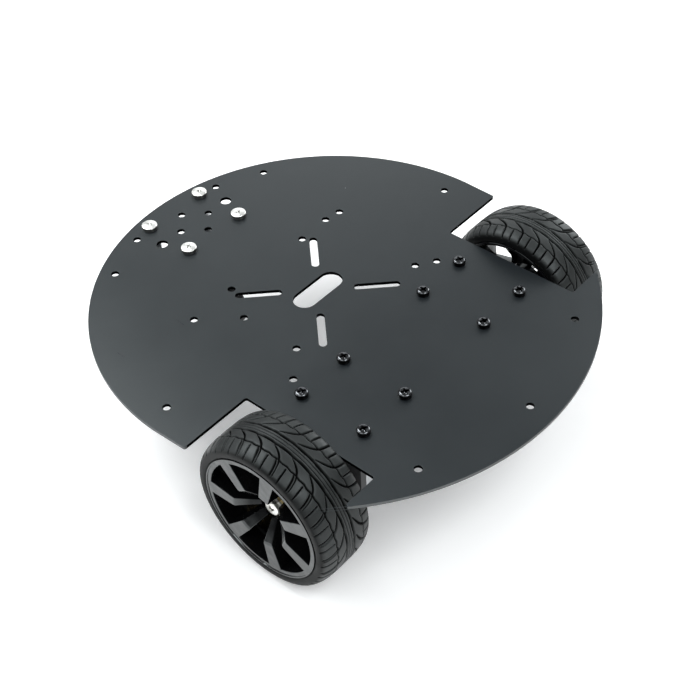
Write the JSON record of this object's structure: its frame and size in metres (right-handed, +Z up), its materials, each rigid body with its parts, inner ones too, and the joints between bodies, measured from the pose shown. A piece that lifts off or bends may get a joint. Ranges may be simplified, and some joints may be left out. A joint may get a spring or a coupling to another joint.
{
  "type": "two-wheel-drive robot chassis",
  "caption": "Round flat robot chassis: black deck plate with board holes, two geared motors on brackets, two treaded wheels in side notches and a swivel caster in front.",
  "frame": {"origin": "on the floor, under the middle of the deck plate's outline", "axes": "+X along the wheel axle to the right, +Y forwards towards the caster, +Z up"},
  "size_m": [0.19, 0.2054, 0.065],
  "materials": {
    "deck_black": "matte black anodised",
    "bracket_black": "black anodised",
    "black_oxide_steel": "black oxide, semi-gloss",
    "zinc_steel": "bright zinc plate",
    "polished_steel": "nickel plated, bright",
    "turned_aluminium": "turned, satin",
    "grey_plastic": "moulded, satin",
    "caster_rubber": "matte",
    "gearbox_steel": "satin nickel plate",
    "bronze": "sintered, oiled",
    "brass": "machined",
    "gear_steel": "sintered steel",
    "motor_zinc": "zinc plated can",
    "black_plastic": "moulded",
    "rim_gloss_black": "gloss black with satin faces",
    "tyre_rubber": "matte treaded rubber",
    "foam": "open-cell foam ring",
    "yellow_zinc": "yellow passivated"
  },
  "bodies": {
    "root": {"deck_plate": "deck_black", "bracket_screws": "black_oxide_steel", "bracket_nuts": "zinc_steel", "caster_standoffs": "turned_aluminium", "caster_screws": "zinc_steel", "caster_mount_plate": "zinc_steel", "caster_kingpin": "zinc_steel", "caster_balls": "polished_steel", "left_motor_bracket": "bracket_black", "left_face_screws": "zinc_steel", "left_gearbox_front_plate": "gearbox_steel", "left_output_bush": "bronze", "left_gearbox_housing": "gearbox_steel", "left_gear_pins": "polished_steel", "left_motor_can": "motor_zinc", "left_motor_end_cap": "black_plastic", "left_motor_terminals": "brass", "right_motor_bracket": "bracket_black", "right_face_screws": "zinc_steel", "right_gearbox_front_plate": "gearbox_steel", "right_output_bush": "bronze", "right_gearbox_housing": "gearbox_steel", "right_gear_pins": "polished_steel", "right_motor_can": "motor_zinc", "right_motor_end_cap": "black_plastic", "right_motor_terminals": "brass"},
    "caster_swivel": {"caster_fork": "zinc_steel", "caster_axle": "zinc_steel", "caster_axle_nut": "zinc_steel"},
    "caster_wheel": {"caster_hub": "grey_plastic", "caster_tread": "caster_rubber"},
    "left_wheel": {"left_output_gear": "gear_steel", "left_output_shaft": "polished_steel", "left_hex_coupling": "brass", "left_set_screws": "black_oxide_steel", "left_wheel_rim": "rim_gloss_black", "left_wheel_tyre": "tyre_rubber", "left_tyre_insert": "foam", "left_flat_washer": "yellow_zinc", "left_lock_washer": "zinc_steel", "left_wheel_screw": "polished_steel"},
    "left_first_gear_body": {"left_first_gear": "brass"},
    "left_second_gear_body": {"left_second_gear": "gear_steel"},
    "left_rotor_body": {"left_motor_rotor": "gear_steel", "left_motor_pinion": "brass"},
    "right_wheel": {"right_output_gear": "gear_steel", "right_output_shaft": "polished_steel", "right_hex_coupling": "brass", "right_set_screws": "black_oxide_steel", "right_wheel_rim": "rim_gloss_black", "right_wheel_tyre": "tyre_rubber", "right_tyre_insert": "foam", "right_flat_washer": "yellow_zinc", "right_lock_washer": "zinc_steel", "right_wheel_screw": "polished_steel"},
    "right_first_gear_body": {"right_first_gear": "brass"},
    "right_second_gear_body": {"right_second_gear": "gear_steel"},
    "right_rotor_body": {"right_motor_rotor": "gear_steel", "right_motor_pinion": "brass"}
  },
  "joints": [
    {"name": "left_wheel_spin", "type": "hinge", "parent": "root", "child": "left_wheel", "pos_m": [-0.0772, -0.0384, 0.0325], "axis": [1, 0, 0], "continuous": true},
    {"name": "left_second_gear_spin", "type": "hinge", "parent": "root", "child": "left_second_gear_body", "pos_m": [-0.043, -0.0469, 0.02266], "axis": [1, 0, 0], "continuous": true},
    {"name": "left_first_gear_spin", "type": "hinge", "parent": "root", "child": "left_first_gear_body", "pos_m": [-0.037, -0.04019, 0.01668], "axis": [1, 0, 0], "continuous": true},
    {"name": "left_rotor_spin", "type": "hinge", "parent": "root", "child": "left_rotor_body", "pos_m": [-0.02, -0.0384, 0.0255], "axis": [1, 0, 0], "continuous": true},
    {"name": "right_wheel_spin", "type": "hinge", "parent": "root", "child": "right_wheel", "pos_m": [0.0772, -0.0384, 0.0325], "axis": [1, 0, 0], "continuous": true},
    {"name": "right_second_gear_spin", "type": "hinge", "parent": "root", "child": "right_second_gear_body", "pos_m": [0.043, -0.0299, 0.02266], "axis": [1, 0, 0], "continuous": true},
    {"name": "right_first_gear_spin", "type": "hinge", "parent": "root", "child": "right_first_gear_body", "pos_m": [0.037, -0.03661, 0.01668], "axis": [1, 0, 0], "continuous": true},
    {"name": "right_rotor_spin", "type": "hinge", "parent": "root", "child": "right_rotor_body", "pos_m": [0.02, -0.0384, 0.0255], "axis": [1, 0, 0], "continuous": true},
    {"name": "caster_swivel_turn", "type": "hinge", "parent": "root", "child": "caster_swivel", "pos_m": [0, 0.0825, 0.028], "axis": [0, 0, 1], "continuous": true},
    {"name": "caster_wheel_roll", "type": "hinge", "parent": "caster_swivel", "child": "caster_wheel", "pos_m": [0, 0.0725, 0.0125], "axis": [1, 0, 0], "continuous": true}
  ],
  "couplings": [
    {"joint": "left_second_gear_spin", "follows": "left_wheel_spin", "ratio": -3.3333},
    {"joint": "left_first_gear_spin", "follows": "left_wheel_spin", "ratio": 8.6667},
    {"joint": "left_rotor_spin", "follows": "left_wheel_spin", "ratio": -22.533},
    {"joint": "right_second_gear_spin", "follows": "right_wheel_spin", "ratio": -3.3333},
    {"joint": "right_first_gear_spin", "follows": "right_wheel_spin", "ratio": 8.6667},
    {"joint": "right_rotor_spin", "follows": "right_wheel_spin", "ratio": -22.533}
  ]
}
